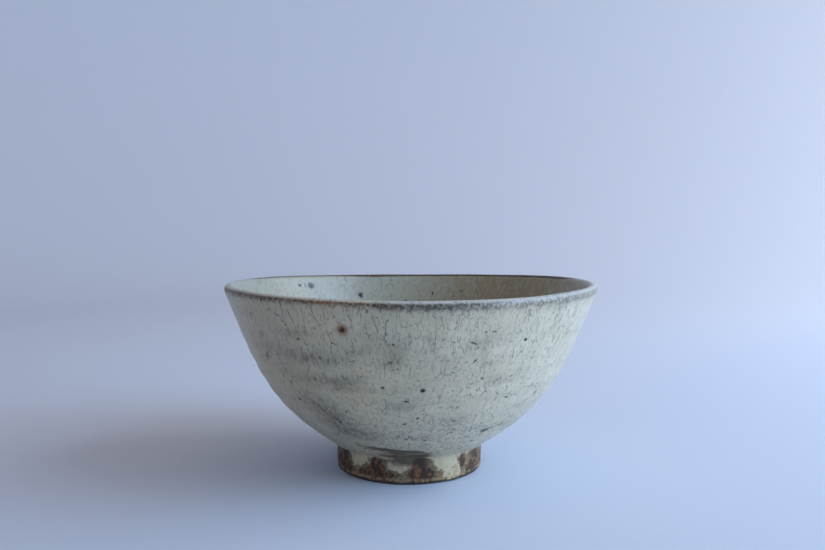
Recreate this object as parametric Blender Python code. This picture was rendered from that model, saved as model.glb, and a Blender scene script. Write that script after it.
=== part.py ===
"""A wheel-thrown stoneware rice bowl with a rounded lip and a turned foot ring, hollow and empty.

Metres, +Z up. The origin is the middle of the foot's resting plane. The bowl is one solid: a profile from
the axis, round the foot, up the outside, over the lip and down the inside, turned about +Z.
"""
import math

import bmesh
import bpy
import numpy as np

# The bowl's outer size
RIM_DIAMETER = 0.1212
HEIGHT = 0.0607

# The wall, which is thin at the lip and grows to the floor's thickness at the foot
LIP_THICKNESS = 0.0031
FLOOR_THICKNESS = 0.0058

# The curve of the wall's outside: how steeply it leaves the foot and meets the lip, measured from level, and
# how long it keeps each of those directions, as a share of the distance from foot to lip
RISE_AT_FOOT = math.radians(34.6)
RISE_AT_LIP = math.radians(68.3)
LOWER_FULLNESS = 0.41
UPPER_FULLNESS = 0.51

# The foot ring, a little wider at its top, and the hollow turned out of it, a little narrower at its top
FOOT_DIAMETER = 0.0480
FOOT_HEIGHT = 0.0093
FOOT_SPREAD = 0.0003
FOOT_RING_WIDTH = 0.0050
NECK_WIDTH = 0.0019
WELL_DEPTH = 0.0054
WELL_TAPER = 0.0008

# The button that the turning tool leaves in the middle of the hollow
BUTTON_RADIUS = 0.0040
BUTTON_HEIGHT = 0.0007

# Rounded corners, each measured along both of its sides
FOOT_EDGE_ROUNDING = 0.0010
WELL_EDGE_ROUNDING = 0.0007
NECK_ROUNDING = 0.0016
WELL_CORNER_ROUNDING = 0.0018

# Faint ridges left by the potter's fingers on the outside
RIDGE_PITCH = 0.0068
RIDGE_DEPTH = 0.00018

# The bowl is slightly out of true. Its rim stands off the foot's axis towards +X and is higher there, and
# it is warped like a saddle, with its two high sides turned a little from the X axis
RIM_OFFSET = 0.00065
RIM_RISE = 0.0001
RIM_WARP = 0.0006
RIM_WARP_TURN = math.radians(5.4)

# Smoothness of the turned surfaces
SEGMENTS = 60
POINTS_PER_RIDGE = 4
INSIDE_STEPS = 14
FLOOR_STEPS = 5
LIP_STEPS = 6
ROUNDING_STEPS = 2
BUTTON_STEPS = 2
FINE_STEPS = 400
WELD_DISTANCE = 1e-6

GLAZE_COLOUR = (0.36, 0.40, 0.38, 1.0)
GLAZE_ROUGHNESS = 0.35


def clear_scene():
    for thing in list(bpy.data.objects):
        bpy.data.objects.remove(thing, do_unlink=True)


def bezier(controls, steps):
    """Evenly numbered points on the Bezier curve of these control points."""
    share = np.linspace(0.0, 1.0, steps + 1)[:, None]
    points = [np.asarray(control) + 0.0 * share for control in controls]
    while len(points) > 1:
        points = [a + (b - a) * share for a, b in zip(points, points[1:])]
    return points[0]


def evenly_spaced(line, steps):
    """Points at even distances along a line of many points."""
    lengths = np.linalg.norm(np.diff(line, axis=0), axis=1)
    travelled = np.concatenate(([0.0], np.cumsum(lengths)))
    stops = np.linspace(0.0, travelled[-1], steps + 1)
    return np.column_stack([np.interp(stops, travelled, line[:, axis]) for axis in (0, 1)])


def rounded_corner(before, corner, after, size):
    """The points that stand for a corner once it is rounded off, over size on each side."""
    towards_before = (before - corner) / np.linalg.norm(before - corner)
    towards_after = (after - corner) / np.linalg.norm(after - corner)
    return bezier((corner + size * towards_before, corner, corner + size * towards_after), ROUNDING_STEPS)


def direction(angle):
    return np.array([math.cos(angle), math.sin(angle)])


def lip_centre():
    """The centre of the lip's rounding, which touches both the bowl's widest radius and its top."""
    return np.array([RIM_DIAMETER, 2 * HEIGHT]) / 2 - LIP_THICKNESS / 2


def wall_foot():
    """Where the outside of the wall starts, out past the neck and level with the foot's top."""
    return np.array([FOOT_DIAMETER / 2 + FOOT_SPREAD + NECK_WIDTH, FOOT_HEIGHT])


def outer_wall():
    """The wall's outside from foot to lip, at even distances, and how thick the wall is at each point."""
    start = wall_foot()
    end = lip_centre() + LIP_THICKNESS / 2 * direction(RISE_AT_LIP - math.pi / 2)
    span = np.linalg.norm(end - start)
    lower_handle = start + LOWER_FULLNESS * span * direction(RISE_AT_FOOT)
    upper_handle = end - UPPER_FULLNESS * span * direction(RISE_AT_LIP)
    fine = bezier((start, lower_handle, upper_handle, end), FINE_STEPS)
    ridges = max(1, round(np.linalg.norm(np.diff(fine, axis=0), axis=1).sum() / RIDGE_PITCH))
    line = evenly_spaced(fine, ridges * POINTS_PER_RIDGE)
    share = np.linspace(0.0, 1.0, len(line))
    ridge_depth = RIDGE_DEPTH * np.sin(math.pi * share) * (1 - np.cos(2 * math.pi * ridges * share)) / 2
    thickness = LIP_THICKNESS + (FLOOR_THICKNESS - LIP_THICKNESS) * (1 - share) ** 2
    return line, thickness, ridge_depth


def inwards(line):
    """Unit vectors from the outside of the wall straight into it."""
    along = np.gradient(line, axis=0)
    along /= np.linalg.norm(along, axis=1)[:, None]
    return np.column_stack((-along[:, 1], along[:, 0]))


def lip():
    """The half circle over the top of the wall, from its outside to its inside."""
    angles = RISE_AT_LIP - math.pi / 2 + np.linspace(0.0, math.pi, LIP_STEPS + 1)
    return lip_centre() + LIP_THICKNESS / 2 * np.column_stack((np.cos(angles), np.sin(angles)))


def inside():
    """The inside from the lip down the wall and across the floor to the axis."""
    line, thickness, _ = outer_wall()
    wall = evenly_spaced((line + inwards(line) * thickness[:, None])[::-1], INSIDE_STEPS)
    floor_height = WELL_DEPTH + FLOOR_THICKNESS
    bend = wall[-1] - direction(RISE_AT_FOOT) * (wall[-1][1] - floor_height) / math.sin(RISE_AT_FOOT)
    floor = bezier((wall[-1], bend, (0.0, floor_height)), FLOOR_STEPS)
    return np.concatenate((wall[1:], floor[1:]))


def foot():
    """The underside from the axis: button, hollow, resting ring, foot's side and neck."""
    ring_outer = FOOT_DIAMETER / 2
    ring_inner = ring_outer - FOOT_RING_WIDTH
    centre = np.array([0.0, WELL_DEPTH])
    well_corner = np.array([ring_inner - WELL_TAPER, WELL_DEPTH])
    well_edge = np.array([ring_inner, 0.0])
    foot_edge = np.array([ring_outer, 0.0])
    neck = np.array([ring_outer + FOOT_SPREAD, FOOT_HEIGHT])
    shares = np.linspace(0.0, 1.0, BUTTON_STEPS + 1)
    drop = BUTTON_HEIGHT * (1 + np.cos(math.pi * shares)) / 2
    button = np.column_stack((BUTTON_RADIUS * shares, WELL_DEPTH - drop))
    return np.concatenate((
        button,
        rounded_corner(centre, well_corner, well_edge, WELL_CORNER_ROUNDING),
        rounded_corner(well_corner, well_edge, foot_edge, WELL_EDGE_ROUNDING),
        rounded_corner(well_edge, foot_edge, neck, FOOT_EDGE_ROUNDING),
        rounded_corner(foot_edge, neck, wall_foot(), NECK_ROUNDING),
    ))


def bowl_profile():
    """The whole profile, radius and height, from the axis under the foot to the axis on the floor."""
    line, _, ridge_depth = outer_wall()
    outside = line + inwards(line) * ridge_depth[:, None]
    return np.concatenate((foot(), outside[:-1], lip(), inside()))


def turn(profile):
    """The closed body that the profile sweeps out as it turns about +Z."""
    body = bmesh.new()
    verts = [body.verts.new((radius, 0.0, height)) for radius, height in profile]
    edges = [body.edges.new(pair) for pair in zip(verts, verts[1:])]
    full_turn = {"cent": (0, 0, 0), "axis": (0, 0, 1), "angle": 2 * math.pi, "steps": SEGMENTS}
    bmesh.ops.spin(body, geom=verts + edges, use_merge=True, **full_turn)
    bmesh.ops.remove_doubles(body, verts=body.verts, dist=WELD_DISTANCE)
    bmesh.ops.recalc_face_normals(body, faces=body.faces)
    return body


def put_out_of_true(body):
    """Leans the bowl and warps its rim, more the higher a point is, so that the foot stays flat."""
    for vert in body.verts:
        share = vert.co.z / HEIGHT
        angle = math.atan2(vert.co.y, vert.co.x)
        outward = math.hypot(vert.co.x, vert.co.y) / (RIM_DIAMETER / 2)
        rise = RIM_RISE * math.cos(angle) + RIM_WARP * math.cos(2 * (angle - RIM_WARP_TURN))
        vert.co.z += rise * outward * share ** 2
        vert.co.x += RIM_OFFSET * share


def glaze():
    material = bpy.data.materials.new("glaze")
    material.use_nodes = True
    shader = material.node_tree.nodes["Principled BSDF"]
    shader.inputs["Base Color"].default_value = GLAZE_COLOUR
    shader.inputs["Roughness"].default_value = GLAZE_ROUGHNESS
    shader.inputs["Metallic"].default_value = 0.0
    return material


def make_bowl():
    body = turn(bowl_profile())
    put_out_of_true(body)
    mesh = bpy.data.meshes.new("bowl")
    body.to_mesh(mesh)
    body.free()
    mesh.shade_smooth()
    mesh.materials.append(glaze())
    bowl = bpy.data.objects.new("bowl", mesh)
    bpy.context.scene.collection.objects.link(bowl)


clear_scene()
make_bowl()
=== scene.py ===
"""A wheel-thrown stoneware rice bowl with a crackled grey-green glaze, dressed for its portrait.

Metres, +Z up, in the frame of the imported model. The bowl is turned from the same profile as the solid that it
stands for, in much finer steps, with the small unevenness of thrown clay.
"""
import math
import random

import bpy
import numpy as np
from mathutils import Matrix, Vector, noise
from mathutils.bvhtree import BVHTree


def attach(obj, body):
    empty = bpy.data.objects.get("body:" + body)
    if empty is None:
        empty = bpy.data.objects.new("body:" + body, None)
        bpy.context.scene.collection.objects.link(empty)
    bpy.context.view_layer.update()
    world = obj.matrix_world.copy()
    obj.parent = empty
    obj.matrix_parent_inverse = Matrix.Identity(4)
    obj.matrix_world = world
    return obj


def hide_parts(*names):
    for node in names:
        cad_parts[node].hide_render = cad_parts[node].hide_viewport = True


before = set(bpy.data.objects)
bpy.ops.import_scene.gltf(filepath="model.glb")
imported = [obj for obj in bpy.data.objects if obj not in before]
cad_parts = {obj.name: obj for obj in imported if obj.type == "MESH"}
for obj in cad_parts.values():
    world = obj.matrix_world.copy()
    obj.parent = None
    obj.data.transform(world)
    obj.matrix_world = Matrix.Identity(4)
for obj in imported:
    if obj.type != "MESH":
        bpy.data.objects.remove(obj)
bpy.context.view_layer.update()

MM = 0.001

# The bowl's outer size
RIM_DIAMETER = 0.1212
HEIGHT = 0.0607

# The wall, which is thin at the lip and grows to the floor's thickness at the foot
LIP_THICKNESS = 0.0031
FLOOR_THICKNESS = 0.0058

# The curve of the wall's outside: how steeply it leaves the foot and meets the lip, measured from level, and
# how long it keeps each of those directions, as a share of the distance from foot to lip
RISE_AT_FOOT = math.radians(34.6)
RISE_AT_LIP = math.radians(68.3)
LOWER_FULLNESS = 0.41
UPPER_FULLNESS = 0.51

# The foot ring, a little wider at its top, and the hollow turned out of it, a little narrower at its top
FOOT_DIAMETER = 0.0480
FOOT_HEIGHT = 0.0093
FOOT_SPREAD = 0.0003
FOOT_RING_WIDTH = 0.0050
NECK_WIDTH = 0.0019
WELL_DEPTH = 0.0054
WELL_TAPER = 0.0008
BUTTON_RADIUS = 0.0040
BUTTON_HEIGHT = 0.0007

# Rounded corners, each measured along both of its sides
FOOT_EDGE_ROUNDING = 0.0010
WELL_EDGE_ROUNDING = 0.0007
NECK_ROUNDING = 0.0016
WELL_CORNER_ROUNDING = 0.0018

# Faint ridges left by the potter's fingers
RIDGE_PITCH = 0.0068
RIDGE_DEPTH = 0.00018
INSIDE_RIDGE_PITCH = 0.0080
INSIDE_RIDGE_DEPTH = 0.00012

# The bowl is slightly out of true, as its solid is
RIM_OFFSET = 0.00065
RIM_RISE = 0.0001
RIM_WARP = 0.0006
RIM_WARP_TURN = math.radians(5.4)

# Unevenness of the clay and the glaze: how far it stands out, and how long its waves are. The slow swell
# fades out between two heights above the table, and the tooling on the foot runs round it
SWELL_DEPTH = 0.00016
SWELL_LENGTH = 0.024
SWELL_HEIGHTS = (0.0006, 0.0060)
DIMPLE_DEPTH = 0.00004
DIMPLE_LENGTH = 0.0055
TOOLING_DEPTH = 0.00010
TOOLING_LENGTH = 0.0009
TOOLING_STRETCH = (14.0, 14.0, 1.0)
CLAY_DEPTH = 0.00009
CLAY_LENGTH = 0.0016
GLAZE_THICKNESS = 0.00022
PIT_DEPTH = 0.00010

# How well the glaze covers the wall and the hollow under the foot, with its edge at a half
WALL_COVER = 1.25
WELL_COVER = 0.7
GLAZE_EDGE = (0.35, 0.65)

# The glaze's edge near the foot wanders this far from its rule, in waves of this length, and less and less
# between these distances past the wall's lower end
COVER_NOISE = 0.75
COVER_LENGTH = 0.0075
COVER_NOISE_END = (0.002, 0.010)

# The wall's glaze ends between these two distances past the wall's lower end, on the neck's hollow. The glaze
# of the foot's hollow ends between these two radii, and the hollow counts up to this far past the ring's edge
FOOT_GLAZE_TOP = -0.0006
FOOT_GLAZE_LOW = -0.0034
WELL_GLAZE_RADII = (0.019, 0.012)
UNDER_MARGIN = 0.0005

# How much longer than wide the crackle's cells are near the lip, less 1, the height shares over which they
# grow to that, and how far the inside's crackle is laid out from the outside's
LIP_STRETCH = 1.5
LIP_STRETCH_HEIGHTS = (0.45, 0.95)
INSIDE_SHIFT = 0.3

# Spots are thrown on the whole bowl, and those that the photograph doesn't show are kept. The seed of the
# draw, how many are thrown, how large in mm and how dark they are, how many of them rust, and the first row
# of the wall that they fall on
SPOT_SEED = 41
HIDDEN_SPOTS = 200
HIDDEN_SPOT_SIZES = (0.6, 1.6)
HIDDEN_SPOT_TONES = (0.5, 1.0)
RUSTY_SHARE = 0.08
FIRST_SPOT_ROW = 4

# A distance, and an offset in half sizes, that are past all spots
FAR = 1.0
FAR_OFFSET = 9.0

# An oval marks only the surface that faces nearly its way and lies this near to its own plane, so that it
# doesn't show on the bowl's other side. Spots keep this far from the axis, where the grid's columns meet
OVAL_FACING = 0.2
OVAL_DEPTH = 0.015
SPOT_FREE_RADIUS = 0.004

# Smoothness of the turned surfaces
SEGMENTS = 384
FINE_STEPS = 400
POINTS_PER_RIDGE = 9
INSIDE_STEPS = 54
FLOOR_STEPS = 18
LIP_STEPS = 12
ROUNDING_STEPS = 8
BUTTON_STEPS = 5
FOOT_SPACING = 0.00062

# The camera, which looks along +Y and a little down, and the photograph's size in pixels
CAMERA_PLACE = Vector((0.001127, -0.2532, 0.0784))
CAMERA_DIP = math.radians(3.41)
FOCAL_PIXELS = 760.0
PICTURE_WIDTH = 825
PICTURE_HEIGHT = 550
SENSOR_WIDTH = 36.0
CLIP_START = 0.01

# Marks that show in the photograph. Each row of these lists starts with a place in pixels, and a length and a
# width in mm. Spots on the glaze have the turn of their length from level in degrees, how dark they are, and
# how much rust they bled around them
SPOTS = (
    (342, 330, 1.7, 1.5, 30, 1, 1),
    (261, 299.5, 1.1, 1, 0, 1, 0),
    (267.5, 355, 2.4, 0.9, 62, 0.7, 0.4),
    (298, 339, 1.4, 0.9, 20, 0.75, 0),
    (320, 358, 0.9, 0.8, 0, 0.8, 0),
    (300, 399, 1.2, 1, 0, 1, 0),
    (340.5, 422, 1.1, 0.8, 30, 0.95, 0),
    (382.5, 388, 1.1, 1, 0, 0.9, 0),
    (406, 402, 1.4, 0.9, 0, 0.9, 0),
    (423, 391, 1.5, 1.4, 0, 1, 0),
    (417.5, 419, 0.8, 1.1, 0, 0.9, 0),
    (393, 345, 0.8, 0.8, 0, 0.7, 0),
    (486, 332, 1, 0.7, 60, 0.8, 0),
    (495.5, 331.5, 0.9, 0.7, 70, 0.85, 0),
    (525.5, 339.5, 1.2, 1, 0, 1, 0),
    (474, 343.2, 2.8, 0.6, -22, 0.8, 0),
    (477.6, 348, 0.9, 0.6, -10, 0.6, 0),
    (475, 361, 1.6, 0.6, 50, 0.85, 0),
    (510.5, 376, 1.3, 0.6, 25, 0.8, 0),
    (482, 378.5, 1.3, 0.8, -40, 0.6, 0),
    (506, 397, 1.4, 0.7, -25, 0.85, 0),
    (495.7, 398, 1.7, 0.5, 60, 0.5, 0),
    (535, 392, 1.7, 0.8, 55, 0.8, 0.3),
    (484.4, 430, 3.4, 1.5, 20, 1, 0.2),
    (499.4, 424.4, 2.6, 0.9, 35, 0.75, 0.2),
    (471.3, 441, 1.8, 1, 20, 0.9, 0),
    (404.5, 424.5, 1.5, 0.8, 10, 0.8, 0),
    (425, 441, 1.3, 1, 0, 0.75, 0),
    (454, 421, 1.2, 1.2, 0, 0.55, 0),
    (390, 363, 1.8, 1, 30, 0.6, 0),
    (443, 340, 0.7, 1, 0, 0.55, 0),
    (418, 381, 0.8, 0.6, 0, 0.6, 0),
    (456, 376, 0.6, 0.6, 0, 0.6, 0),
    (299.8, 285.2, 1.6, 1.5, 0, 1, 0),
    (311, 285.5, 3.4, 2.8, 0, 1, 0),
    (360.5, 295, 2, 2.4, 0, 1, 0),
    (405.5, 300.4, 0.9, 1.2, 0, 0.9, 0),
    (432.5, 293, 0.8, 1.5, 0, 0.9, 0),
    (461, 291, 1.2, 1.4, 60, 0.6, 0),
)

# Long soft clouds of grey under the glaze, with their turn and depth of tone
CLOUDS = (
    (290, 333, 9, 2.6, -8, 0.55),
    (303, 356, 26, 5, -2, 0.75),
    (318, 380, 26, 5, -4, 0.60),
    (318, 403, 17, 8, -24, 0.7),
    (336, 418, 14, 7, -20, 0.7),
    (348, 431, 19, 7, -14, 1),
    (400, 408, 9, 4, 0, 0.45),
    (395, 352, 7, 7, 0, 0.5),
    (390, 365, 6, 4, 0, 0.5),
    (484, 352, 3, 6, 0, 0.35),
    (455, 421, 8, 4, 10, 0.5),
    (425, 438, 9, 3.5, 0, 0.5),
)

# Stretches of the lip where the clay burnt to rust, with their turn and strength
LIP_RUSTS = (
    (322, 303.5, 6.5, 2, -4, 1),
    (286, 300, 5, 1.6, -6, 0.45),
    (345, 306, 4, 1.6, -2, 0.35),
)

# Patches where glaze ran down thick over the foot, and ones where it stopped short, which lie level, with how
# much glaze they bring
FOOT_PATCHES = (
    (359, 459, 9, 6.5, 1.5),
    (402, 466, 8, 5, 1.1),
    (394, 459, 10, 5, 0.5),
    (447, 458, 12, 8, 1.7),
    (456, 471, 8, 4, 1),
    (366, 470, 5, 3.4, -1),
    (377, 465, 3.6, 5, -1.1),
    (418, 461, 3, 4.6, -0.9),
    (388, 475, 9, 2.8, -0.8),
    (422, 474, 10, 3.2, -1.1),
    (462, 461, 2.2, 5, -1.6),
    (470, 466, 2.6, 4, -0.6),
    (345, 454, 3, 4, -0.9),
)

# Dark marks in the neck above the foot, which lie level, with how dark they are: partly stains, partly painted
# shade where the neck lies under the wall
NECK_STAINS_AND_SHADE = (
    (363, 445.5, 9, 2.8, 0.6),
    (376, 449, 7, 2.6, 0.8),
    (390, 451, 6, 3.4, 1.3),
    (401, 452.5, 6, 3.2, 0.9),
    (412, 453, 7, 3.4, 1.3),
    (423, 455, 5, 3, 0.7),
    (394, 456, 12, 3, 0.8),
    (411, 457, 7, 3, 0.8),
    (392, 460, 11, 4, 0.7),
    (412, 460, 9, 4, 1),
    (425, 461, 5, 5, 0.6),
    (345.5, 452, 3, 4, 1),
    (473, 453, 4, 4, 0.8),
)

# Layers of cracks in the glaze, each with the size of its cells, how far its lines bend as a share of that,
# how much of them shows between the gaps, the shift that sets it apart, how dark it is, and where it is
CRACK_LAYERS = (
    (0.0056, 0.35, 0.40, 1.1, 1.00, "all over"),
    (0.0040, 0.90, 0.35, 0.7, 0.90, "all over"),
    (0.0028, 0.40, 0.40, 2.3, 0.75, "all over"),
    (0.0022, 0.90, 0.30, 3.1, 0.60, "all over"),
    (0.0019, 0.25, 0.45, 3.7, 0.65, "near the lip"),
    (0.0034, 0.50, 0.75, 4.9, 0.85, "near the foot"),
    (0.0021, 0.60, 0.50, 5.9, 0.70, "near the foot"),
)
CRACK_WIDTH = 0.00015

# Where the looks change. Each grows from nothing at its first value to all at its second. Heights are
# shares of the way up the wall, east is towards +X and north towards +Y. Distances past the lip's crest,
# and those of its band, are positive down the outside and negative down the inside
LIP_CRACK_HEIGHTS = (0.50, 0.85)
FOOT_CRACK_HEIGHTS = (0.55, 0.20)
CRACKS_PAST_CREST = (-0.0010, 0.0010)
# Painted light: the glaze grows paler towards +X, the side the window light falls on
PAINTED_LIGHT_EAST = (-0.022, 0.022)
# Painted shade: the glaze grows darker towards -X, away from the window light
PAINTED_SHADE_EAST = (-0.018, -0.046)
INSIDE_PAST_CREST = (0.0006, -0.0006)
STREAKS_EAST = (-0.012, 0.040)
STREAKS_PAST_CREST = (-0.0010, -0.0030)
# Where the lip's crest gets its painted highlight, and how that grows stronger towards +X
CREST_INNER = (-0.0016, -0.0004)
CREST_OUTER = (0.0026, 0.0012)
CREST_PAINTED_HIGHLIGHT_EAST = (-0.012, 0.0)
LIP_LEFT_EAST = (-0.002, -0.012)
LIP_BACK_NORTH = (-0.002, 0.022)
LIP_OVER_EAST = (-0.036, -0.012)
LIP_FADING_EAST = (0.008, 0.030)
LIP_BAND_TOP = (0.0009, 0.0016)
LIP_BAND_LOW = (0.0042, 0.0022)
# Painted shade just below the lip's band
LIP_PAINTED_SHADE_TOP = (0.0008, 0.0020)
LIP_PAINTED_SHADE_LOW = (0.0064, 0.0020)
CLAY_TO_GLAZE = (0.34, 0.66)

# How far the lip's band reaches over the crest at the back, how much further away from the left end, and how
# far its top and its low edge wander and rise on the left
LIP_OVER = 0.0021
LIP_OVER_MORE = 0.0009
LIP_TOP_WANDER = 0.0006
LIP_TOP_LEFT = 0.0002
LIP_LOW_WANDER = 0.0030
LIP_LOW_LEFT = 0.0011

# Where the foot's looks change, by how well the glaze covers it, by the height above the table, with how far
# the painted contact shadow at the lower edge wanders from that, and by the depth of the neck's stains and
# painted shade
THIN_COVER = (-0.12, 0.14)
RUSTY_COVER_FROM = (0.05, 0.35)
RUSTY_COVER_TO = (0.80, 0.55)
CREAM_COVER = (0.42, 0.84)
BEVEL_LOW = (0.0009, 0.0013)
BEVEL_TOP = (0.0022, 0.0016)
PAINTED_EDGE_SHADOW = (0.0012, 0.0007)
PAINTED_EDGE_SHADOW_WANDER = 0.0006
STAIN_AND_SHADE_DEPTH = (0.10, 1.05)

# Where a spot's looks change, by the distance from it and by the offset in its half sizes
SPOT_DISTANCE = (0.0016, 0.0010)
SPOT_HALO = (2.9, 1.1)
SPOT_CORE = (1.35, 0.45)

# Sizes of the waves and grains in the colours and in the gloss
TINT_SIZE = 0.014
DRIFT_SIZE = 0.0070
MOTTLE_SIZE = 0.0012
CRACK_PATCH_SIZE = 0.008
SPECK_SPACING = 0.0019
SPECK_RADIUS = 0.00036
CLOUD_BAND_SIZE = 0.0032
CLOUD_SIZE = 0.010
SMUDGE_SIZE = 0.0022
STREAK_SIZE = 0.0011
LIP_WANDER_SIZE = 0.0020
LIP_SPECKLE_SIZE = 0.0008
SPOT_EDGE_SIZE = 0.0006
CLAY_RUST_SIZE = 0.0017
CLAY_GRAIN_SIZE = 0.0007
CLAY_EDGE_SIZE = 0.0020
FOOT_WANDER_SIZE = 0.0024
DRIP_SIZE = 0.0013
FLECK_SIZE = 0.0010
BRUSH_SIZE = 0.0009
GLOSS_SIZE = 0.004
PAPER_PATCH_SIZE = 0.35

# The gloss, from 0 for a mirror to 1 for chalk, and the finest relief: its depth, and the sizes of its grains
GLAZE_ROUGHNESS = 0.26
GLAZE_ROUGHNESS_SPREAD = 0.12
LIP_ROUGHNESS = 0.15
CLAY_ROUGHNESS = 0.70
BUMP_DEPTH = 0.00018
BUMP_STRENGTH = 0.7
BUMP_GRAIN_SIZE = 0.0006
BUMP_PEEL_SIZE = 0.0024
PAPER_ROUGHNESS = 0.9
PAPER_SHEEN = 0.1

# Colours, as red, green and blue from 0 to 255
GLAZE_WARM = (204, 190, 158)
GLAZE_COOL = (194, 186, 158)
# The pale glaze also carries the painted light, and the darker glaze carries the painted shade as well as the
# mottle
GLAZE_PALE_AND_PAINTED_LIGHT = (222, 212, 184)
GLAZE_MOTTLE_AND_PAINTED_SHADE = (174, 163, 136)
CRACK = (82, 78, 68)
CLOUD = (128, 119, 98)
SPOT = (30, 24, 18)
RUST = (150, 98, 34)
INSIDE_BROWN = (158, 142, 108)
INSIDE_GREY = (144, 150, 138)
# Painted highlight along the lip's crest
LIP_PAINTED_HIGHLIGHT = (186, 190, 186)
LIP_BROWN = (70, 44, 24)
LIP_GREY = (86, 82, 70)
LIP_RUST = (150, 86, 38)
# Dark clay, also used for the painted contact shadow along the foot's lower edge
CLAY_DARK_AND_PAINTED_SHADOW = (58, 41, 29)
CLAY_RUST = (132, 90, 56)
FOOT_THIN = (134, 120, 94)
FOOT_CREAM = (204, 188, 152)
FOOT_TAN = (172, 146, 104)
# Colour of the neck's stains and painted shade
FOOT_STAIN_AND_SHADE = (62, 50, 34)
PAPER = (206, 216, 230)
PAPER_SHADE = (200, 205, 214)

# How much greyer the glaze is inside, and how much of the paper's shade shows
INSIDE_SHARE = 0.75
PAPER_SHADE_SHARE = 0.12

# The sheet of paper: its flat part with two rings in it, its bend, its height and its smoothness
STAGE_FLAT = 0.60
STAGE_RINGS = (STAGE_FLAT / 30, STAGE_FLAT / 6)
STAGE_BEND = 0.60
STAGE_HEIGHT = 1.2
STAGE_STEPS = 24
STAGE_SEGMENTS = 96

# The window's light from the right and a little in front, high and low, one for the wall behind, and the
# room's own light
WINDOW_COLOUR = (0.73, 1.0, 1.41)
HIGH_WINDOW = {"place": Vector((0.57, -0.13, 0.47)), "size": 0.42, "power": 1.55}
LOW_WINDOW = {"place": Vector((0.74, -0.22, 0.20)), "size": 0.55, "power": 4.35}
BOWL_MIDDLE = Vector((0.0, 0.0, 0.03))
WALL_LIGHT = {"place": Vector((0.85, 0.30, 0.55)), "size": 0.50, "power": 4.5}
WALL_LIGHT_AIM = Vector((0.35, 1.15, 0.25))
WALL_LIGHT_COLOUR = (1.0, 1.0, 1.04)
FILL_COLOUR = (1.24, 1.0, 0.85)
FILL_STRENGTH = 0.352


# Profile, as in the solid, with its straight stretches divided

def bezier(controls, steps):
    """Evenly numbered points on the Bezier curve of these control points."""
    share = np.linspace(0.0, 1.0, steps + 1)[:, None]
    points = [np.asarray(control) + 0.0 * share for control in controls]
    while len(points) > 1:
        points = [a + (b - a) * share for a, b in zip(points, points[1:])]
    return points[0]


def evenly_spaced(line, steps):
    """Points at even distances along a line of many points."""
    travelled = distance_along(line)
    stops = np.linspace(0.0, travelled[-1], steps + 1)
    return np.column_stack([np.interp(stops, travelled, line[:, axis]) for axis in (0, 1)])


def distance_along(line):
    """How far along a line each of its points lies."""
    return np.concatenate(([0.0], np.cumsum(np.linalg.norm(np.diff(line, axis=0), axis=1))))


def rounded_corner(before, corner, after, size):
    """The points that stand for a corner once it is rounded off, over size on each side."""
    towards_before = (before - corner) / np.linalg.norm(before - corner)
    towards_after = (after - corner) / np.linalg.norm(after - corner)
    return bezier((corner + size * towards_before, corner, corner + size * towards_after), ROUNDING_STEPS)


def direction(angle):
    return np.array([math.cos(angle), math.sin(angle)])


def lip_centre():
    """The centre of the lip's rounding, which touches both the bowl's widest radius and its top."""
    return np.array([RIM_DIAMETER, 2 * HEIGHT]) / 2 - LIP_THICKNESS / 2


def wall_foot():
    """Where the outside of the wall starts, out past the neck and level with the foot's top."""
    return np.array([FOOT_DIAMETER / 2 + FOOT_SPREAD + NECK_WIDTH, FOOT_HEIGHT])


def outer_wall():
    """The wall's outside from foot to lip, at even distances, how thick the wall is at each point and how far
    the ridges go in."""
    start = wall_foot()
    end = lip_centre() + LIP_THICKNESS / 2 * direction(RISE_AT_LIP - math.pi / 2)
    span = np.linalg.norm(end - start)
    lower_handle = start + LOWER_FULLNESS * span * direction(RISE_AT_FOOT)
    upper_handle = end - UPPER_FULLNESS * span * direction(RISE_AT_LIP)
    fine = bezier((start, lower_handle, upper_handle, end), FINE_STEPS)
    ridges = max(1, round(distance_along(fine)[-1] / RIDGE_PITCH))
    line = evenly_spaced(fine, ridges * POINTS_PER_RIDGE)
    share = np.linspace(0.0, 1.0, len(line))
    ridge_depth = RIDGE_DEPTH * np.sin(math.pi * share) * (1 - np.cos(2 * math.pi * ridges * share)) / 2
    thickness = LIP_THICKNESS + (FLOOR_THICKNESS - LIP_THICKNESS) * (1 - share) ** 2
    return line, thickness, ridge_depth


def inwards(line):
    """Unit vectors from the outside of the wall straight into it."""
    along = np.gradient(line, axis=0)
    along /= np.linalg.norm(along, axis=1)[:, None]
    return np.column_stack((-along[:, 1], along[:, 0]))


def outside():
    """The wall's outside with its faint ridges, from foot to lip."""
    line, _, ridge_depth = outer_wall()
    return line + inwards(line) * ridge_depth[:, None]


def lip():
    """The half circle over the top of the wall, from its outside to its inside."""
    angles = RISE_AT_LIP - math.pi / 2 + np.linspace(0.0, math.pi, LIP_STEPS + 1)
    return lip_centre() + LIP_THICKNESS / 2 * np.column_stack((np.cos(angles), np.sin(angles)))


def inside():
    """The inside from the lip down the wall and across the floor to the axis, with faint ridges."""
    line, thickness, _ = outer_wall()
    wall = evenly_spaced((line + inwards(line) * thickness[:, None])[::-1], INSIDE_STEPS)
    share = np.linspace(0.0, 1.0, len(wall))
    ridges = round(distance_along(wall)[-1] / INSIDE_RIDGE_PITCH)
    depth = INSIDE_RIDGE_DEPTH * np.sin(math.pi * share) * np.sin(2 * math.pi * ridges * share)
    floor_height = WELL_DEPTH + FLOOR_THICKNESS
    bend = wall[-1] - direction(RISE_AT_FOOT) * (wall[-1][1] - floor_height) / math.sin(RISE_AT_FOOT)
    floor = bezier((wall[-1], bend, (0.0, floor_height)), FLOOR_STEPS)
    wall = wall + inwards(wall) * depth[:, None]
    return np.concatenate((wall[1:], floor[1:]))


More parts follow.
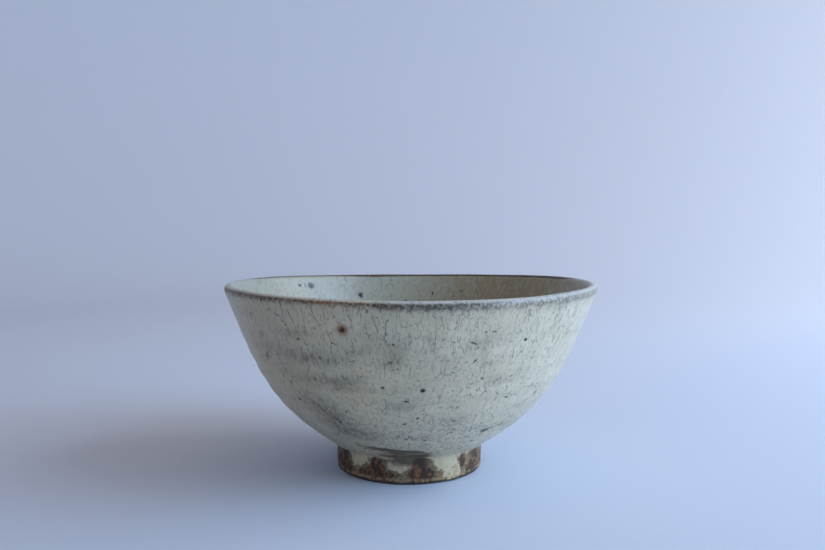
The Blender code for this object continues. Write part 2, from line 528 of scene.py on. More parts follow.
def foot():
    """The underside from the axis: button, hollow, resting ring, foot's side and neck."""
    ring_outer = FOOT_DIAMETER / 2
    ring_inner = ring_outer - FOOT_RING_WIDTH
    centre = np.array([0.0, WELL_DEPTH])
    well_corner = np.array([ring_inner - WELL_TAPER, WELL_DEPTH])
    well_edge = np.array([ring_inner, 0.0])
    foot_edge = np.array([ring_outer, 0.0])
    neck = np.array([ring_outer + FOOT_SPREAD, FOOT_HEIGHT])
    shares = np.linspace(0.0, 1.0, BUTTON_STEPS + 1)
    drop = BUTTON_HEIGHT * (1 + np.cos(math.pi * shares)) / 2
    button = np.column_stack((BUTTON_RADIUS * shares, WELL_DEPTH - drop))
    return np.concatenate((
        button,
        rounded_corner(centre, well_corner, well_edge, WELL_CORNER_ROUNDING),
        rounded_corner(well_corner, well_edge, foot_edge, WELL_EDGE_ROUNDING),
        rounded_corner(well_edge, foot_edge, neck, FOOT_EDGE_ROUNDING),
        rounded_corner(foot_edge, neck, wall_foot(), NECK_ROUNDING),
    ))


def divided(line, spacing):
    """The same line with points added where two of its points are further apart than spacing."""
    pieces = []
    for a, b in zip(line, line[1:]):
        count = max(1, math.ceil(np.linalg.norm(b - a) / spacing))
        pieces.append(a + (b - a) * np.arange(count)[:, None] / count)
    return np.concatenate(pieces + [line[-1:]])


class Profile:
    """The bowl's profile without its two ends on the axis, and how each of its points lies on the bowl."""

    def __init__(self):
        foot_line = divided(np.concatenate((foot(), outside()[:1])), FOOT_SPACING)[1:-1]
        wall_line = outside()[:-1]
        lip_line = lip()
        self.points = np.concatenate((foot_line, wall_line, lip_line, inside()[:-1]))
        self.travelled = distance_along(self.points)
        self.foot_end = len(foot_line)
        self.crest = self.foot_end + len(wall_line) + int(np.argmax(lip_line[:, 1]))
        self.from_crest = self.travelled[self.crest] - self.travelled
        self.past_foot = self.travelled - self.travelled[self.foot_end]
        wall_length = self.from_crest[self.foot_end]
        self.height_share = np.clip(1 - np.abs(self.from_crest) / wall_length, 0.0, 1.0)
        self.is_inside = np.arange(len(self.points)) > self.crest
        self.is_foot = np.arange(len(self.points)) < self.foot_end
        well_radius = FOOT_DIAMETER / 2 - FOOT_RING_WIDTH + UNDER_MARGIN
        self.is_under = self.is_foot & (self.points[:, 0] < well_radius)


def grid(profile, angles):
    """The bowl's surface as rows of points around the axis, out of true as the solid is."""
    radius = profile.points[:, 0][:, None]
    height = profile.points[:, 1][:, None]
    share = height / HEIGHT
    rise = RIM_RISE * np.cos(angles) + RIM_WARP * np.cos(2 * (angles - RIM_WARP_TURN))
    x = radius * np.cos(angles) + RIM_OFFSET * share
    y = radius * np.sin(angles)
    z = height + rise * radius / (RIM_DIAMETER / 2) * share ** 2
    return np.stack((x, y, z), axis=2)


def normals_of(places):
    """Unit normals of the grid, pointing out of the clay."""
    along = np.gradient(places, axis=0)
    around = np.roll(places, -1, axis=1) - np.roll(places, 1, axis=1)
    normal = np.cross(around, along)
    return normal / np.linalg.norm(normal, axis=2, keepdims=True)


def noise_at(places, length, seed, stretch=(1.0, 1.0, 1.0)):
    """Smooth noise from about -1 to 1 at each place, with waves of that length, longer where stretched."""
    shift = Vector((seed * 17.3, seed * 5.1, seed * 11.7))
    flat = places.reshape(-1, 3) / (np.array(stretch) * length)
    values = [noise.noise(Vector(place) + shift) for place in flat]
    return np.array(values).reshape(places.shape[:-1])


def smooth_step(values, low, high):
    share = np.clip((values - low) / (high - low), 0.0, 1.0)
    return share * share * (3 - 2 * share)


# Places that the photograph shows

def ray_through(x, y):
    """The direction from the camera through this pixel of the photograph."""
    right = (x - PICTURE_WIDTH / 2) / FOCAL_PIXELS
    up = (PICTURE_HEIGHT / 2 - y) / FOCAL_PIXELS
    return (Matrix.Rotation(-CAMERA_DIP, 3, "X") @ Vector((right, 1.0, up))).normalized()


class Spot:
    """An oval on the surface: where it is, which ways it runs, and how large it is."""

    def __init__(self, place, normal, length, width, turn):
        around = Vector((0, 0, 1)).cross(normal).normalized()
        up = normal.cross(around)
        self.place = np.array(place)
        self.normal = np.array(normal)
        self.long_way = np.array(math.cos(turn) * around + math.sin(turn) * up) / (length / 2)
        self.wide_way = np.array(math.cos(turn) * up - math.sin(turn) * around) / (width / 2)
        self.reach = max(length, width) / 2

    def offsets(self, places, normals):
        """How far along and across the oval each place is, in its own half sizes, how far away it is, and
        whether it faces the oval's way."""
        away = places - self.place
        facing = (normals @ self.normal > OVAL_FACING) & (np.abs(away @ self.normal) < OVAL_DEPTH)
        return away @ self.long_way, away @ self.wide_way, np.linalg.norm(away, axis=-1), facing


def spot_seen_at(tree, x, y, length, width, turn=0):
    """The oval on the bowl where the photograph shows it, with its size in mm and its turn in degrees."""
    place, normal, _, _ = tree.ray_cast(CAMERA_PLACE, ray_through(x, y))
    return Spot(place, normal, length * MM, width * MM, math.radians(turn))


def ovals_seen(tree, rows):
    """The ovals of a list above, each with its strength, which is the last value of its row."""
    return [(spot_seen_at(tree, *row[:-1]), row[-1]) for row in rows]


def soft_sum(places, normals, spots_and_strengths):
    """A value at each place that rises to each spot's strength at its middle and fades smoothly around it."""
    total = np.zeros(places.shape[:-1])
    for spot, strength in spots_and_strengths:
        along, across, _, facing = spot.offsets(places, normals)
        total += strength * np.exp(-(along ** 2 + across ** 2)) * facing
    return total


def hidden_spots(profile, places, normals):
    """Spots like the photograph's on the parts of the bowl that it doesn't show."""
    draw = random.Random(SPOT_SEED)
    spots = []
    for _ in range(HIDDEN_SPOTS):
        row = draw.randrange(profile.foot_end + FIRST_SPOT_ROW, len(places))
        column = draw.randrange(SEGMENTS)
        place = Vector(places[row, column])
        normal = Vector(normals[row, column])
        size = draw.uniform(*HIDDEN_SPOT_SIZES) * MM
        spot = Spot(place, normal, size, size * draw.uniform(0.5, 1.0), draw.uniform(0.0, math.pi))
        dark = draw.uniform(*HIDDEN_SPOT_TONES)
        rust = float(draw.random() < RUSTY_SHARE)
        is_hidden = normal.dot(CAMERA_PLACE - place) < 0
        if is_hidden and math.hypot(place.x, place.y) > SPOT_FREE_RADIUS:
            spots.append((spot, dark, rust))
    return spots


def spot_values(places, normals, spots):
    """For each place its nearest spot: the offset in the spot's half sizes, the distance, and its tones."""
    nearest = np.full(places.shape[:-1], FAR)
    offset = np.full(places.shape, FAR_OFFSET)
    tone = np.zeros(places.shape)
    for spot, dark, rust in spots:
        along, across, distance, facing = spot.offsets(places, normals)
        past = np.where(facing, distance - spot.reach, FAR)
        closer = past < nearest
        nearest[closer] = past[closer]
        offset[closer] = np.stack((along, across, 0 * along), axis=-1)[closer]
        tone[closer] = (dark, rust, 0.0)
    return offset, nearest, tone


# What each place of the surface is like

def glaze_cover(profile, places, normals, patches):
    """How well the glaze covers each place: over 1 on the walls, 0 on bare clay and a half at its edge."""
    reach = smooth_step(profile.past_foot, FOOT_GLAZE_LOW, FOOT_GLAZE_TOP)[:, None]
    cover = WALL_COVER * reach + np.zeros(places.shape[:-1])
    cover += WELL_COVER * (profile.is_under * smooth_step(profile.points[:, 0], *WELL_GLAZE_RADII))[:, None]
    near_foot = 1 - smooth_step(profile.past_foot, *COVER_NOISE_END)
    cover += COVER_NOISE * noise_at(places, COVER_LENGTH, 3) * near_foot[:, None]
    return cover + soft_sum(places, normals, patches)


def relief(profile, places, cover):
    """How far each place stands out of the plain turned surface."""
    depth = SWELL_DEPTH * noise_at(places, SWELL_LENGTH, 1) * smooth_step(places[..., 2], *SWELL_HEIGHTS)
    depth += DIMPLE_DEPTH * noise_at(places, DIMPLE_LENGTH, 2)
    on_foot = profile.is_foot[:, None]
    bare = 1 - smooth_step(cover, *GLAZE_EDGE)
    depth += TOOLING_DEPTH * on_foot * noise_at(places, TOOLING_LENGTH, 4, TOOLING_STRETCH)
    depth += CLAY_DEPTH * bare * noise_at(places, CLAY_LENGTH, 5)
    depth += GLAZE_THICKNESS * np.where(on_foot, 1 - bare, -bare)
    return depth


def crackle_plane(profile, angles):
    """Each place laid out flat, as if the bowl were pressed open from its foot or floor, for the crackle. The
    stretch away from the middle is small near the lip, so that there the cracks run up and down."""
    steps = np.diff(profile.travelled, prepend=0.0)
    stretch = 1.0 + LIP_STRETCH * smooth_step(profile.height_share, *LIP_STRETCH_HEIGHTS)
    outwards = np.cumsum(steps / stretch)
    from_middle = np.where(profile.is_inside, outwards[-1] - outwards, outwards)[:, None]
    shift = INSIDE_SHIFT * profile.is_inside[:, None]
    return np.stack((from_middle * np.cos(angles) + shift, from_middle * np.sin(angles) + shift,
                     0 * from_middle * angles), axis=2)


# The bowl's mesh

def faces_between(rows):
    """The grid's quads between its rows, and the triangles that close it at the axis."""
    below = np.arange(rows - 1)[:, None] * SEGMENTS
    here = np.arange(SEGMENTS)
    after = (here + 1) % SEGMENTS
    above = below + SEGMENTS
    quads = np.stack((below + here, below + after, above + after, above + here), axis=2)
    bottom = rows * SEGMENTS
    last = bottom - SEGMENTS
    closing = [(bottom, int(b), int(a)) for a, b in zip(here, after)]
    closing += [(bottom + 1, int(last + a), int(last + b)) for a, b in zip(here, after)]
    return quads.reshape(-1, 4).tolist(), closing


def with_middles(values):
    """One row for each place of the grid, then one each for the middles of the underside and the floor."""
    values = values.reshape(values.shape[0], SEGMENTS, -1)
    middles = values[[0, -1]].mean(axis=1)
    return np.concatenate((values.reshape(-1, values.shape[2]), middles))


def keep(mesh, name, values):
    """Keeps a number or a vector for each vertex, for the material to read."""
    kind, field = ("FLOAT_VECTOR", "vector") if values.ndim == 3 else ("FLOAT", "value")
    flat = with_middles(values).astype(np.float32).ravel()
    mesh.attributes.new(name, kind, "POINT").data.foreach_set(field, flat)


def keep_marks(mesh, profile, angles, places, normals, tree, spots):
    """Keeps all that the material reads, apart from the glaze's cover."""
    blank = np.zeros(places.shape[:-1])
    on_foot = smooth_step(profile.past_foot, FOOT_GLAZE_TOP, FOOT_GLAZE_LOW)
    offset, distance, tone = spot_values(places, normals, spots)
    keep(mesh, "cloud", soft_sum(places, normals, ovals_seen(tree, CLOUDS)))
    keep(mesh, "lip_rust", soft_sum(places, normals, ovals_seen(tree, LIP_RUSTS)))
    keep(mesh, "neck_stain_and_shade", soft_sum(places, normals, ovals_seen(tree, NECK_STAINS_AND_SHADE)))
    keep(mesh, "spot_offset", offset)
    keep(mesh, "spot_distance", distance)
    keep(mesh, "spot_tone", tone)
    keep(mesh, "crackle_plane", crackle_plane(profile, angles))
    keep(mesh, "from_crest", blank + profile.from_crest[:, None])
    keep(mesh, "height_share", blank + profile.height_share[:, None])
    keep(mesh, "foot_share", blank + on_foot[:, None])


def make_bowl():
    profile = Profile()
    angles = np.arange(SEGMENTS)[None, :] * 2 * math.pi / SEGMENTS
    places = grid(profile, angles)
    normals = normals_of(places)
    quads, closing = faces_between(len(places))
    tree = BVHTree.FromPolygons([Vector(place) for place in places.reshape(-1, 3)], quads)
    spots = [(spot_seen_at(tree, *spot[:5]), spot[5], spot[6]) for spot in SPOTS]
    spots += hidden_spots(profile, places, normals)
    pits = soft_sum(places, normals, [spot[:2] for spot in spots])
    cover = glaze_cover(profile, places, normals, ovals_seen(tree, FOOT_PATCHES))
    depth = relief(profile, places, cover) - PIT_DEPTH * pits
    vertices = with_middles(places + normals * depth[..., None])
    vertices[:, 2] = np.maximum(vertices[:, 2], 0.0)

    mesh = bpy.data.meshes.new("bowl_glazed")
    mesh.from_pydata(vertices.tolist(), [], quads + closing)
    keep(mesh, "glaze_cover", cover)
    keep_marks(mesh, profile, angles, places, normals, tree, spots)
    mesh.shade_smooth()
    bowl = bpy.data.objects.new("bowl_glazed", mesh)
    bpy.context.scene.collection.objects.link(bowl)
    return bowl


# Materials

def linear_share(share):
    """The linear value of one part of a screen colour, both from 0 to 1."""
    return share / 12.92 if share <= 0.04045 else ((share + 0.055) / 1.055) ** 2.4


def linear(colour):
    """The linear colour, with full cover, of red, green and blue from 0 to 255."""
    return [linear_share(part / 255) for part in colour] + [1.0]


class Surface:
    """A material, and short calls that add its nodes. Each returns the socket that carries its result."""

    def __init__(self, name):
        self.material = bpy.data.materials.new(name)
        self.material.use_nodes = True
        self.nodes = self.material.node_tree.nodes
        self.links = self.material.node_tree.links
        self.shader = self.nodes["Principled BSDF"]
        self.object_place = self.nodes.new("ShaderNodeTexCoord").outputs["Object"]

    def add(self, kind, inputs=(), **settings):
        node = self.nodes.new(kind)
        for name, value in settings.items():
            setattr(node, name, value)
        for key, value in inputs:
            self.feed(node.inputs[key], value)
        return node

    def feed(self, socket, value):
        if isinstance(value, bpy.types.NodeSocket):
            self.links.new(value, socket)
        else:
            socket.default_value = value

    def math(self, operation, *values):
        return self.add("ShaderNodeMath", enumerate(values), operation=operation).outputs[0]

    def clamp(self, value):
        return self.add("ShaderNodeClamp", [("Value", value)]).outputs[0]

    def times(self, *values):
        product = values[0]
        for value in values[1:]:
            product = self.math("MULTIPLY", product, value)
        return product

    def plus(self, *values):
        total = values[0]
        for value in values[1:]:
            total = self.math("ADD", total, value)
        return total

    def without(self, value):
        return self.math("SUBTRACT", 1.0, value)

    def step(self, value, low, high):
        """0 up to low and 1 from high, or the other way round where low is the higher."""
        inputs = [("Value", value), ("From Min", low), ("From Max", high)]
        return self.add("ShaderNodeMapRange", inputs, interpolation_type="SMOOTHSTEP").outputs[0]

    def mix(self, share, first, second):
        """The first colour at a share of 0 and the second at 1."""
        first, second = [value if isinstance(value, bpy.types.NodeSocket) else linear(value)
                         for value in (first, second)]
        inputs = [(0, share), (6, first), (7, second)]
        return self.add("ShaderNodeMix", inputs, data_type="RGBA").outputs[2]

    def attribute(self, name, kind="Fac"):
        return self.add("ShaderNodeAttribute", attribute_name=name).outputs[kind]

    def parts(self, place):
        """How far the place lies towards +X, +Y and +Z."""
        return self.add("ShaderNodeSeparateXYZ", [(0, place)]).outputs

    def stretched(self, place, stretch):
        inputs = [(0, place), (1, [1 / part for part in stretch])]
        return self.add("ShaderNodeVectorMath", inputs, operation="MULTIPLY").outputs[0]

    def shifted(self, place, shift):
        return self.add("ShaderNodeVectorMath", [(0, place), (1, shift)], operation="ADD").outputs[0]

    def noise_node(self, place, size, detail, roughness):
        inputs = [("Vector", place), ("Scale", 1 / size), ("Detail", detail), ("Roughness", roughness)]
        return self.add("ShaderNodeTexNoise", inputs)

    def noise(self, place, size, detail=2.0, roughness=0.5):
        """Smooth noise around a half, with waves of that size."""
        return self.noise_node(place, size, detail, roughness).outputs[0]

    def swing(self, place, size, detail, roughness, amount=1.0):
        """Smooth noise around zero, with waves of that size, times the amount."""
        return self.times(self.plus(self.noise(place, size, detail, roughness), -0.5), amount)

    def bent(self, place, size, amount):
        """The place, moved about by up to amount in waves of that size."""
        push = self.noise_node(place, size, 1.0, 0.5).outputs[1]
        inputs = [(0, push), (1, [2 * amount] * 3), (2, place)]
        return self.add("ShaderNodeVectorMath", inputs, operation="MULTIPLY_ADD").outputs[0]

    def edge(self, place, size):
        """The distance to the nearest border between flat cells of that size."""
        inputs = [("Vector", place), ("Scale", 1 / size), ("Randomness", 1.0)]
        settings = {"feature": "DISTANCE_TO_EDGE", "voronoi_dimensions": "2D"}
        return self.times(self.add("ShaderNodeTexVoronoi", inputs, **settings).outputs["Distance"], size)

    def dots(self, place, spacing, radius):
        """Dots of up to that radius, one in each flat cell, of random sizes."""
        inputs = [("Vector", place), ("Scale", 1 / spacing), ("Randomness", 1.0)]
        node = self.add("ShaderNodeTexVoronoi", inputs, voronoi_dimensions="2D")
        share = self.math("DIVIDE", node.outputs["Distance"], radius / spacing)
        size = self.add("ShaderNodeSeparateColor", [(0, node.outputs["Color"])]).outputs[0]
        return self.step(self.math("DIVIDE", share, self.math("POWER", size, 2.0)), 1.0, 0.5)

    def bump(self, height, distance, strength):
        inputs = [("Height", height), ("Distance", distance), ("Strength", strength)]
        return self.add("ShaderNodeBump", inputs).outputs[0]


def cracks(surface, plane, cell, bend, shown, shift):
    """Fine broken lines along the borders of cells, which are bent by a share of their size. Shown is the
    share of the lines that shows between the gaps."""
    here = surface.shifted(plane, (shift, shift, 0.0))
    edge = surface.edge(surface.bent(here, cell * 0.8, cell * bend), cell)
    parts = surface.noise(surface.shifted(here, (5.0, 5.0, 0.0)), cell * 0.7, 1.0)
    gaps = surface.step(parts, 0.63 - 0.3 * shown, 0.71 - 0.3 * shown)
    return surface.times(surface.step(edge, CRACK_WIDTH, 0.2 * CRACK_WIDTH), gaps)


def crackle(surface, plane):
    """How dark the crackle is: upright cracks near the lip, curls on the belly and a finer net near the foot,
    darker in the grey clouds and fainter inside."""
    height_share = surface.attribute("height_share")
    near_foot = surface.step(height_share, *FOOT_CRACK_HEIGHTS)
    shares = {
        "all over": 1.0,
        "near the lip": surface.step(height_share, *LIP_CRACK_HEIGHTS),
        "near the foot": near_foot,
    }
    total = 0.0
    for cell, bend, shown, shift, dark, where in CRACK_LAYERS:
        lines = cracks(surface, plane, cell, bend, shown, shift)
        total = surface.math("MAXIMUM", total, surface.times(lines, shares[where], dark))
    patchy = surface.step(surface.noise(plane, CRACK_PATCH_SIZE), 0.36, 0.60)
    cloudy = surface.times(surface.attribute("cloud"), 0.30)
    strength = surface.plus(0.52, surface.times(patchy, 0.38), cloudy, surface.times(near_foot, 0.20))
    outside = surface.step(surface.attribute("from_crest"), *CRACKS_PAST_CREST)
    return surface.clamp(surface.times(total, strength, surface.plus(0.55, surface.times(outside, 0.45))))


def glaze_tints(surface, place, east):
    """Warm, cool and pale glaze running into each other, paler towards +X as painted light and darker towards
    -X as painted shade, with a fine mottle.
    """
    warmth = surface.step(surface.noise(place, TINT_SIZE, 3.0), 0.40, 0.60)
    tint = surface.mix(warmth, GLAZE_WARM, GLAZE_COOL)
    drift = surface.noise(surface.shifted(place, (3.0, 1.0, 2.0)), DRIFT_SIZE, 3.0)
    # Pale drift of the glaze, with painted light added towards +X
    pale_and_painted_light = surface.plus(surface.times(surface.step(drift, 0.42, 0.68), 0.35),
                        surface.times(surface.step(east, *PAINTED_LIGHT_EAST), 0.65))
    tint = surface.mix(pale_and_painted_light, tint, GLAZE_PALE_AND_PAINTED_LIGHT)
    # Painted shade towards -X
    tint = surface.mix(surface.times(surface.step(east, *PAINTED_SHADE_EAST), 0.40), tint, GLAZE_MOTTLE_AND_PAINTED_SHADE)
    mottle = surface.noise(place, MOTTLE_SIZE, 3.0, 0.65)
    return surface.mix(surface.times(surface.step(mottle, 0.48, 0.70), 0.28), tint, GLAZE_MOTTLE_AND_PAINTED_SHADE)


def clouds(surface, place, plane):
    """How grey the glaze is: faint bands and smudges, and the clouds that show in the photograph."""
    bands = surface.noise(surface.stretched(place, (6.0, 6.0, 1.0)), CLOUD_BAND_SIZE)
    grey = surface.noise(surface.shifted(place, (7.0, 0.0, 4.0)), CLOUD_SIZE, 3.0, 0.6)
    drift = surface.times(surface.step(surface.plus(bands, grey), 1.02, 1.32), 0.26)
    smudge = surface.step(surface.noise(plane, SMUDGE_SIZE, 3.0, 0.65), 0.36, 0.64)
    seen = surface.times(surface.attribute("cloud"), surface.plus(0.50, surface.times(smudge, 0.60)))
    return surface.clamp(surface.plus(drift, seen))


def inside_tints(surface, place, east, from_crest, colour):
    """The inside: greyer glaze, with fine olive-brown streaks that run down it towards +X."""
    colour = surface.mix(INSIDE_SHARE, colour, INSIDE_GREY)
    streaks = surface.noise(surface.stretched(place, (1.0, 1.0, 6.0)), STREAK_SIZE, 3.0, 0.6)
    past_lip = surface.step(from_crest, *STREAKS_PAST_CREST)
    brown = surface.times(surface.step(east, *STREAKS_EAST), surface.step(streaks, 0.26, 0.60), past_lip)
    return surface.mix(brown, colour, INSIDE_BROWN)


def lip_band(surface, place, from_crest, east, north):
    """How dark the lip's band is, and its colour: clay that shows through the thin glaze, partly painted shade
    where the lip rolls over, with a fainter painted shade below it. It is brown on the left and at the back,
    where it goes over the crest, and grey and speckled below the crest's painted highlight on the front right."""
    left = surface.step(east, *LIP_LEFT_EAST)
    back = surface.step(north, *LIP_BACK_NORTH)
    wander = surface.swing(place, LIP_WANDER_SIZE, 3.0, 0.65)
    further = surface.times(surface.step(east, *LIP_OVER_EAST), LIP_OVER_MORE)
    over = surface.times(back, surface.plus(LIP_OVER, further))
    top = surface.plus(from_crest, surface.times(wander, LIP_TOP_WANDER),
                       surface.times(left, LIP_TOP_LEFT), over)
    low = surface.plus(from_crest, surface.times(wander, LIP_LOW_WANDER), surface.times(left, LIP_LOW_LEFT))
    # The band is clay showing through thin glaze, and partly painted shade where the lip rolls over
    band = surface.times(surface.step(top, *LIP_BAND_TOP), surface.step(low, *LIP_BAND_LOW))
    grains = surface.noise(surface.shifted(place, (4.0, 4.0, 0.0)), LIP_SPECKLE_SIZE)
    speckle = surface.step(grains, 0.34, 0.62)
    fading = surface.times(surface.step(east, *LIP_FADING_EAST), surface.without(back))
    strength = surface.plus(0.46, surface.times(speckle, 0.48), surface.times(back, 0.30),
                            surface.times(fading, -0.30))
    # Painted shade just below the lip's band
    shade = surface.times(surface.step(low, *LIP_PAINTED_SHADE_LOW), surface.step(from_crest, *LIP_PAINTED_SHADE_TOP), 0.20)
    amount = surface.clamp(surface.plus(surface.times(band, strength), shade))
    brown = surface.math("MAXIMUM", left, back)
    colour = surface.mix(surface.times(brown, 0.85), LIP_GREY, LIP_BROWN)
    rusty = surface.times(surface.attribute("lip_rust"), surface.plus(0.3, surface.times(speckle, 0.6)))
    return amount, surface.mix(surface.clamp(rusty), colour, LIP_RUST)


def spot_marks(surface, place):
    """How dark each place is from its spot, and how rusty from the halo around it."""
    offset = surface.attribute("spot_offset", "Vector")
    length = surface.add("ShaderNodeVectorMath", [(0, offset)], operation="LENGTH").outputs["Value"]
    spread = surface.plus(length, surface.swing(place, SPOT_EDGE_SIZE, 2.0, 0.5, 1.2))
    near = surface.step(surface.attribute("spot_distance"), *SPOT_DISTANCE)
    dark, rusty, _ = surface.parts(surface.attribute("spot_tone", "Vector"))
    core = surface.times(surface.step(spread, *SPOT_CORE), near, dark)
    halo = surface.times(surface.step(spread, *SPOT_HALO), near, rusty)
    return core, halo


def bare_clay(surface, place):
    """Iron-brown clay, rusty in places, with dark grains."""
    rusty = surface.noise(surface.stretched(place, (1.0, 1.0, 1.6)), CLAY_RUST_SIZE, 5.0, 0.70)
    clay = surface.mix(surface.step(rusty, 0.44, 0.62), CLAY_DARK_AND_PAINTED_SHADOW, CLAY_RUST)
    grains = surface.step(surface.noise(place, CLAY_GRAIN_SIZE), 0.52, 0.68)
    return surface.mix(surface.times(grains, 0.5), clay, CLAY_DARK_AND_PAINTED_SHADOW)


def foot_tints(surface, place, height, cover):
    """The foot: bare clay, thin grey glaze over much of it and cream where the glaze ran thick, with rust
    where it thins out, and a painted contact shadow along its lower edge."""
    wander = surface.swing(place, FOOT_WANDER_SIZE, 5.0, 0.7, 1.8)
    flecks = surface.swing(place, FLECK_SIZE, 3.0, 0.6, 2.0)
    drips = surface.noise(surface.stretched(place, (1.0, 1.0, 3.5)), DRIP_SIZE, 3.0, 0.6)
    level = surface.plus(cover, wander, flecks, surface.times(surface.plus(drips, -0.5), 0.9))
    thin = surface.times(surface.step(level, *THIN_COVER), 0.85)
    colour = surface.mix(thin, bare_clay(surface, place), FOOT_THIN)
    rusty = surface.times(surface.step(level, *RUSTY_COVER_FROM), surface.step(level, *RUSTY_COVER_TO))
    colour = surface.mix(surface.times(rusty, surface.step(drips, 0.40, 0.62), 0.8), colour, CLAY_RUST)
    cream = surface.mix(surface.times(surface.step(drips, 0.48, 0.70), 0.7), FOOT_CREAM, FOOT_TAN)
    colour = surface.mix(surface.step(level, *CREAM_COVER), colour, cream)
    edge = surface.plus(height, surface.times(wander, PAINTED_EDGE_SHADOW_WANDER))
    bevel = surface.times(surface.step(edge, *BEVEL_LOW), surface.step(edge, *BEVEL_TOP))
    colour = surface.mix(surface.times(bevel, surface.step(drips, 0.40, 0.55), 0.65), colour, FOOT_TAN)
    # Painted contact shadow along the foot's lower edge
    return surface.mix(surface.times(surface.step(edge, *PAINTED_EDGE_SHADOW), 0.85), colour, CLAY_DARK_AND_PAINTED_SHADOW)


def glaze_colour(surface, place, plane, east, lines):
    """The glaze's colour with its crackle, its painted light and shade and a painted highlight on the crest,
    without the lip's band and the spots.
    """
    colour = surface.mix(clouds(surface, place, plane), glaze_tints(surface, place, east), CLOUD)
    from_crest = surface.attribute("from_crest")
    inner = inside_tints(surface, place, east, from_crest, colour)
    colour = surface.mix(surface.step(from_crest, *INSIDE_PAST_CREST), colour, inner)
    # Painted highlight along the lip's crest, stronger towards +X where the window light falls
    crest = surface.times(surface.step(from_crest, *CREST_INNER), surface.step(from_crest, *CREST_OUTER))
    pale_and_painted_light = surface.plus(0.30, surface.times(surface.step(east, *CREST_PAINTED_HIGHLIGHT_EAST), 0.50))
    colour = surface.mix(surface.times(crest, pale_and_painted_light), colour, LIP_PAINTED_HIGHLIGHT)
    specks = surface.dots(surface.shifted(plane, (6.0, 6.0, 0.0)), SPECK_SPACING, SPECK_RADIUS)
    return surface.mix(surface.math("MAXIMUM", lines, surface.times(specks, 0.40)), colour, CRACK)


def stained_and_shaded(surface, place, wander):
    """How dark the neck is above the foot, from stains and painted shade under the wall, in brush marks that
    run round it.
    """
    brushed = surface.swing(surface.stretched(place, (4.0, 4.0, 1.0)), BRUSH_SIZE, 3.0, 0.65, 3.2)
    neck_stain_and_shade = surface.times(surface.attribute("neck_stain_and_shade"), surface.plus(1.0, brushed, wander))
    return surface.times(surface.step(neck_stain_and_shade, *STAIN_AND_SHADE_DEPTH), 0.85)


def dullness(surface, place, covered, band):
    """The roughness: satin glaze, duller in the lip's band, and dull clay."""
    uneven = surface.times(surface.noise(place, GLOSS_SIZE), GLAZE_ROUGHNESS_SPREAD)
    glaze = surface.plus(GLAZE_ROUGHNESS, uneven, surface.times(band, LIP_ROUGHNESS))
    clay = surface.times(surface.without(covered), CLAY_ROUGHNESS)
    return surface.plus(surface.times(glaze, covered), clay)


def fine_relief(surface, place, covered, lines, core):
    """Grains in the clay, a faint peel on the glaze, and cracks and spots a little below it."""
    grain = surface.times(surface.noise(place, BUMP_GRAIN_SIZE, 3.0), surface.without(covered))
    peel = surface.times(surface.noise(place, BUMP_PEEL_SIZE, 1.0), covered, 0.05)
    height = surface.plus(grain, peel, surface.times(lines, -0.20), surface.times(core, -0.3))
    return surface.bump(height, BUMP_DEPTH, BUMP_STRENGTH)


def glaze_and_clay():
    surface = Surface("crackled_glaze")
    place = surface.object_place
    plane = surface.attribute("crackle_plane", "Vector")
    cover = surface.attribute("glaze_cover")
    east, north, height = surface.parts(place)
    lines = crackle(surface, plane)
    band, band_colour = lip_band(surface, place, surface.attribute("from_crest"), east, north)
    core, halo = spot_marks(surface, place)
    wander = surface.swing(place, CLAY_EDGE_SIZE, 4.0, 0.65, 1.2)
    covered = surface.step(surface.plus(cover, wander), *CLAY_TO_GLAZE)

    colour = surface.mix(band, glaze_colour(surface, place, plane, east, lines), band_colour)
    colour = surface.mix(covered, bare_clay(surface, place), colour)
    colour = surface.mix(surface.attribute("foot_share"), colour, foot_tints(surface, place, height, cover))
    # Stains and painted shade in the neck under the wall
    colour = surface.mix(stained_and_shaded(surface, place, wander), colour, FOOT_STAIN_AND_SHADE)
    colour = surface.mix(surface.times(halo, 0.85), colour, RUST)
    surface.feed(surface.shader.inputs["Base Color"], surface.mix(core, colour, SPOT))
    surface.feed(surface.shader.inputs["Roughness"], dullness(surface, place, covered, band))
    surface.feed(surface.shader.inputs["Normal"], fine_relief(surface, place, covered, lines, core))
    return surface.material


def paper():
    surface = Surface("paper")
    shade = surface.times(surface.noise(surface.object_place, PAPER_PATCH_SIZE), PAPER_SHADE_SHARE)
    surface.feed(surface.shader.inputs["Base Color"], surface.mix(shade, PAPER, PAPER_SHADE))
    surface.feed(surface.shader.inputs["Roughness"], PAPER_ROUGHNESS)
    surface.feed(surface.shader.inputs["Specular IOR Level"], PAPER_SHEEN)
    return surface.material


# The stage, the light and the camera

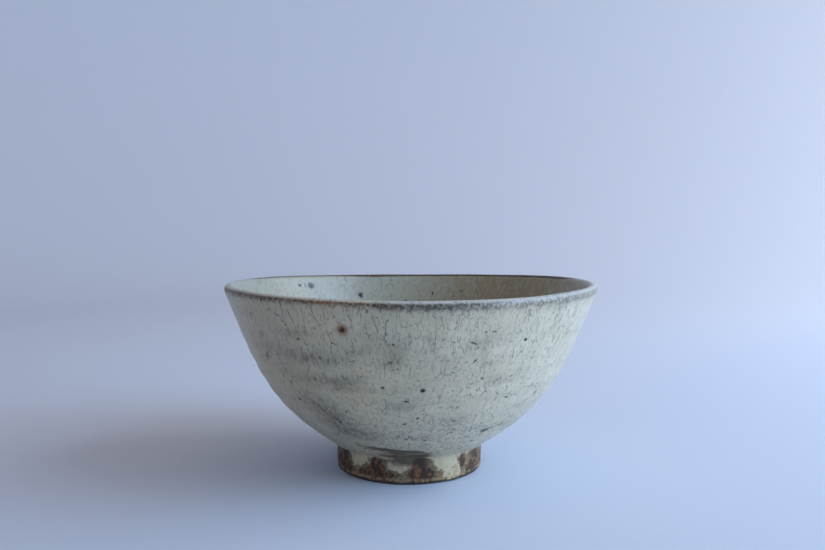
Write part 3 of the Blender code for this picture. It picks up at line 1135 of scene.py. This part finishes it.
def make_stage():
    """A round sheet of paper, flat where the bowl stands and curving up into a wall all round. One face
    closes its middle."""
    bend = [(STAGE_FLAT + STAGE_BEND * math.sin(angle), STAGE_BEND * (1 - math.cos(angle)))
            for angle in np.linspace(0.0, math.pi / 2, STAGE_STEPS)]
    line = [(radius, 0.0) for radius in STAGE_RINGS] + bend + [(STAGE_FLAT + STAGE_BEND, STAGE_HEIGHT)]
    angles = np.linspace(0.0, 2 * math.pi, STAGE_SEGMENTS, endpoint=False)
    points = [(radius * math.cos(a), radius * math.sin(a), height) for radius, height in line for a in angles]
    faces = [tuple(reversed(range(STAGE_SEGMENTS)))]
    for row in range(len(line) - 1):
        for here in range(STAGE_SEGMENTS):
            after = (here + 1) % STAGE_SEGMENTS
            corners = ((row, here), (row, after), (row + 1, after), (row + 1, here))
            faces.append([STAGE_SEGMENTS * ring + corner for ring, corner in corners])
    mesh = bpy.data.meshes.new("stage")
    mesh.from_pydata(points, [], faces)
    mesh.shade_smooth()
    mesh.materials.append(paper())
    stage = bpy.data.objects.new("stage", mesh)
    bpy.context.scene.collection.objects.link(stage)
    return stage


def make_lamp(name, aim, colour, place, size, power):
    """A square soft light that shines from its place towards its aim."""
    light = bpy.data.lights.new(name, "AREA")
    light.shape = "SQUARE"
    light.size = size
    light.color = colour
    light.energy = power
    lamp = bpy.data.objects.new(name, light)
    lamp.location = place
    lamp.rotation_euler = (aim - place).to_track_quat("-Z", "Y").to_euler()
    lamp.visible_camera = False
    bpy.context.scene.collection.objects.link(lamp)


def make_room():
    world = bpy.data.worlds.new("room")
    world.use_nodes = True
    background = world.node_tree.nodes["Background"]
    background.inputs["Color"].default_value = (*FILL_COLOUR, 1.0)
    background.inputs["Strength"].default_value = FILL_STRENGTH
    bpy.context.scene.world = world


def make_camera():
    camera = bpy.data.cameras.new("camera")
    camera.sensor_width = SENSOR_WIDTH
    camera.lens = FOCAL_PIXELS * SENSOR_WIDTH / PICTURE_WIDTH
    camera.clip_start = CLIP_START
    holder = bpy.data.objects.new("camera", camera)
    holder.location = CAMERA_PLACE
    holder.rotation_euler = (math.pi / 2 - CAMERA_DIP, 0.0, 0.0)
    bpy.context.scene.collection.objects.link(holder)
    bpy.context.scene.camera = holder


make_camera()
make_lamp("high_window", BOWL_MIDDLE, WINDOW_COLOUR, **HIGH_WINDOW)
make_lamp("low_window", BOWL_MIDDLE, WINDOW_COLOUR, **LOW_WINDOW)
make_lamp("wall_light", WALL_LIGHT_AIM, WALL_LIGHT_COLOUR, **WALL_LIGHT)
make_room()
make_stage()
bowl = make_bowl()
bowl.data.materials.append(glaze_and_clay())
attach(bowl, "root")
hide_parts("bowl")
bpy.context.scene.view_settings.view_transform = "Standard"
